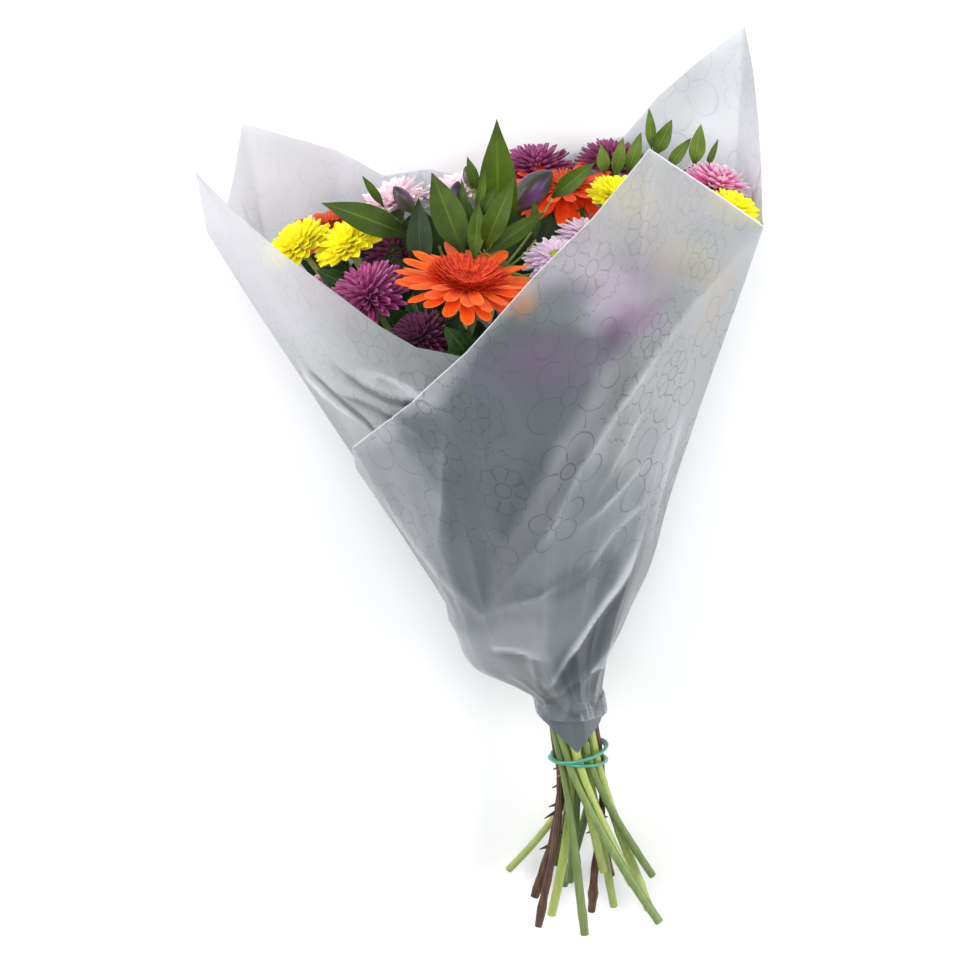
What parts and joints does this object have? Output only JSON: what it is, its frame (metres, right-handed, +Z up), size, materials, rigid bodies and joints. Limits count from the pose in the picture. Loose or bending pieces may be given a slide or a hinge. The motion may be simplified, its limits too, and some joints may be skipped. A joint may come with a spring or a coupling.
{
  "type": "wrapped mixed flower bouquet",
  "caption": "Mixed bouquet lying on its back: gerberas, chrysanthemums, alstroemeria and twigs in a frosted film cone, taped at the neck, with a rubber band round the bare stems.",
  "frame": {"origin": "centre of the bouquet's footprint, on the surface it lies on", "axes": "+Y along the bouquet from the cut stems to the flower heads, +X to the right seen from above with the heads away, +Z up out of the surface, towards the flap of film that wraps over the front"},
  "size_m": [0.31, 0.5278, 0.19],
  "materials": {
    "film": "thin frosted translucent film, printed with fine grey flower outlines, pure white along its edges",
    "tape": "clear glossy tape over the gathered film",
    "band": "teal green rubber, slightly glossy",
    "gerbera_petals": "velvety orange petals with a red-orange ring of small florets",
    "purple_petals": "dark magenta quilled petals with paler tips, golden brown eye",
    "yellow_petals": "bright lemon yellow petals, darker towards the middle",
    "pink_petals": "pink petals, magenta at the root and white at the tips",
    "lilac_petals": "pale lilac petals with a yellow-green eye",
    "buds": "satin, dark purple with green towards the foot",
    "light_stems": "satin, light yellow-green stems and leaves with parallel veins",
    "green_stems": "matte, ridged mid to dark green stems with lobed leaves",
    "bark": "matte brown twigs with small dark green leaves"
  },
  "bodies": {
    "root": {"branch_back": "bark", "branch_front": "bark", "branch_right": "bark", "branch_side": "bark", "bud_a": "buds", "bud_b": "buds", "bud_c": "buds", "bud_d": "buds", "bud_e": "buds", "gerbera_front": "gerbera_petals", "gerbera_left": "gerbera_petals", "gerbera_right": "gerbera_petals", "lilac_right_a": "lilac_petals", "lilac_right_b": "lilac_petals", "lilac_right_c": "lilac_petals", "lilac_right_d": "lilac_petals", "pink_left_a": "pink_petals", "pink_left_b": "pink_petals", "pink_left_c": "pink_petals", "pink_right_a": "pink_petals", "pink_right_b": "pink_petals", "purple_back_a": "purple_petals", "purple_back_b": "purple_petals", "purple_left_a": "purple_petals", "purple_left_b": "purple_petals", "purple_left_c": "purple_petals", "rubber_band": "band", "stem_alstroemeria_centre": "light_stems", "stem_alstroemeria_left": "light_stems", "stem_gerbera_front": "light_stems", "stem_gerbera_left": "green_stems", "stem_gerbera_right": "light_stems", "stem_lilac_right": "green_stems", "stem_pink_left": "green_stems", "stem_pink_right": "green_stems", "stem_purple_back": "green_stems", "stem_purple_left": "green_stems", "stem_yellow_left": "light_stems", "stem_yellow_right": "light_stems", "tape_band": "tape", "wrapper": "film", "yellow_left_a": "yellow_petals", "yellow_left_b": "yellow_petals", "yellow_right_a": "yellow_petals", "yellow_right_b": "yellow_petals", "yellow_right_c": "yellow_petals"}
  },
  "joints": []
}
